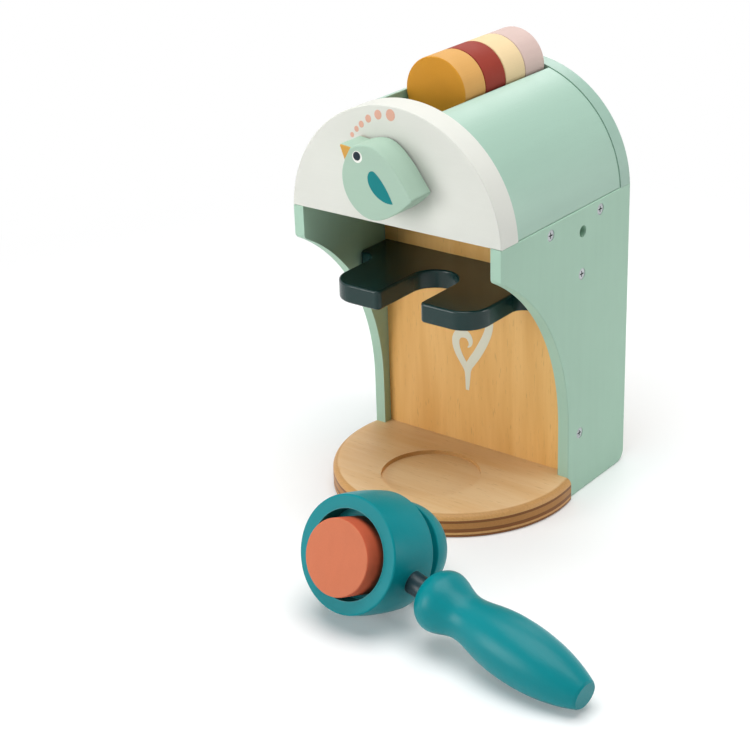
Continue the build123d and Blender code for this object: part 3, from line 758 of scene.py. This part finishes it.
for name, stroke, thickness in STEAM_FILMS:
    film(name, [brush_stroke(stroke)], back_low.y, thickness, "machine", cream_ink)
print("steam rises from", STEAM_LEFT[0][1], "to", STEAM_RIGHT[-2][1], "mm")

# %% [markdown]
# # Floor, world and lamps
#
# The machine stands in a white studio. The floor is a pale diffuse plane that takes the shadow.
# To the camera and to reflections it also glows a little, and beyond the shadow's reach it turns
# into plain white, without any more light on the toy. The world shows them white too, and is a
# soft grey light for everything else.

# %% Studio floor and world
SHADOW_REACH = 0.30
FLOOR_LIFT = 0.12
WORLD_LIGHT = 0.10
PURE_WHITE = (1.0, 1.0, 1.0, 1.0)


def studio_floor():
    """A pale floor that keeps the shadow near the toy and turns into white beyond its reach."""
    made, tree, shader = new_material("studio floor")
    place = add(tree, "ShaderNodeTexCoord").outputs["Object"]
    away = vector_sums(tree, "LENGTH", place, output="Value")
    far = between(tree, away, SHADOW_REACH, 2.2 * SHADOW_REACH)
    mottle = noise(tree, place, 30.0, 2.0)
    shader.inputs["Roughness"].default_value = 0.9
    pale = mixed(tree, mottle, (0.88, 0.89, 0.89, 1.0), (0.90, 0.90, 0.90, 1.0))
    tree.links.new(pale, shader.inputs["Base Color"])
    glow = add(tree, "ShaderNodeEmission", {"Color": PURE_WHITE, "Strength": 1.0})
    path = add(tree, "ShaderNodeLightPath").outputs
    seen = sums(tree, "ADD", path["Is Camera Ray"], path["Is Glossy Ray"], clamp=True)
    strength = sums(tree, "MULTIPLY", seen, FLOOR_LIFT)
    lift = add(tree, "ShaderNodeEmission", {"Color": PURE_WHITE, "Strength": strength})
    lifted = add(tree, "ShaderNodeAddShader")
    tree.links.new(shader.outputs[0], lifted.inputs[0])
    tree.links.new(lift.outputs[0], lifted.inputs[1])
    blended = add(tree, "ShaderNodeMixShader", {0: sums(tree, "MULTIPLY", far, seen)})
    tree.links.new(lifted.outputs[0], blended.inputs[1])
    tree.links.new(glow.outputs[0], blended.inputs[2])
    tree.links.new(blended.outputs[0], tree.nodes["Material Output"].inputs["Surface"])
    return made


bpy.ops.mesh.primitive_plane_add(size=12.0, location=(0, 0, -0.0002))
floor = bpy.context.object
floor.name = "studio_floor"
floor.data.materials.append(studio_floor())

world = bpy.data.worlds.new("studio")
bpy.context.scene.world = world
world.use_nodes = True
tree = world.node_tree
path = add(tree, "ShaderNodeLightPath").outputs
seen = sums(tree, "ADD", path["Is Camera Ray"], path["Is Glossy Ray"], clamp=True)
seen = sums(tree, "ADD", seen, path["Is Transmission Ray"], clamp=True)
soft = add(tree, "ShaderNodeBackground", {"Color": (0.96, 0.98, 1.0, 1.0), "Strength": WORLD_LIGHT})
white = add(tree, "ShaderNodeBackground", {"Color": PURE_WHITE, "Strength": 1.0})
choice = add(tree, "ShaderNodeMixShader", {0: seen})
tree.links.new(soft.outputs[0], choice.inputs[1])
tree.links.new(white.outputs[0], choice.inputs[2])
tree.links.new(choice.outputs[0], tree.nodes["World Output"].inputs["Surface"])
print("world light", WORLD_LIGHT)

# %% [markdown]
# Four soft boxes light the toy. The one overhead is the strongest: it draws the roof's curve and
# whitens the floor, which throws most of its light back up. A low one in front to the left
# reaches under the fascia and lights the back board, and a weak one to the right lifts the side
# panel. The last stands behind, where the gloss of the roof mirrors it as a pale band along the
# ridge. A lamp's watts are spread over the square of its distance, so a soft box close by needs
# few.

# %% Soft boxes
def soft_box(name, place, size, watts):
    """A square lamp that looks at the middle of the machine."""
    lamp = bpy.data.lights.new(name, "AREA")
    lamp.shape = "SQUARE"
    lamp.size = size
    lamp.energy = watts
    made = bpy.data.objects.new(name, lamp)
    bpy.context.scene.collection.objects.link(made)
    made.location = place
    made.rotation_mode = "QUATERNION"
    made.rotation_quaternion = (Vector(place) - MACHINE_MIDDLE).to_track_quat("Z", "Y")
    return made


MACHINE_MIDDLE = Vector((0.0, 0.0, 0.14))
SOFT_BOXES = [("overhead box", (0.13, -0.15, 1.6), 1.4, 26.0),
              ("front box", (-0.67, -1.42, 0.38), 0.8, 13.0),
              ("side box", (1.42, 0.71, 0.30), 0.6, 6.1),
              ("back box", (-0.45, 1.15, 1.25), 0.8, 4.6)]  # place and side in metres, then watts
for name, place, size, watts in SOFT_BOXES:
    lamp = soft_box(name, place, size, watts)
    print(lamp.name, round(lamp.data.energy, 1), "W")
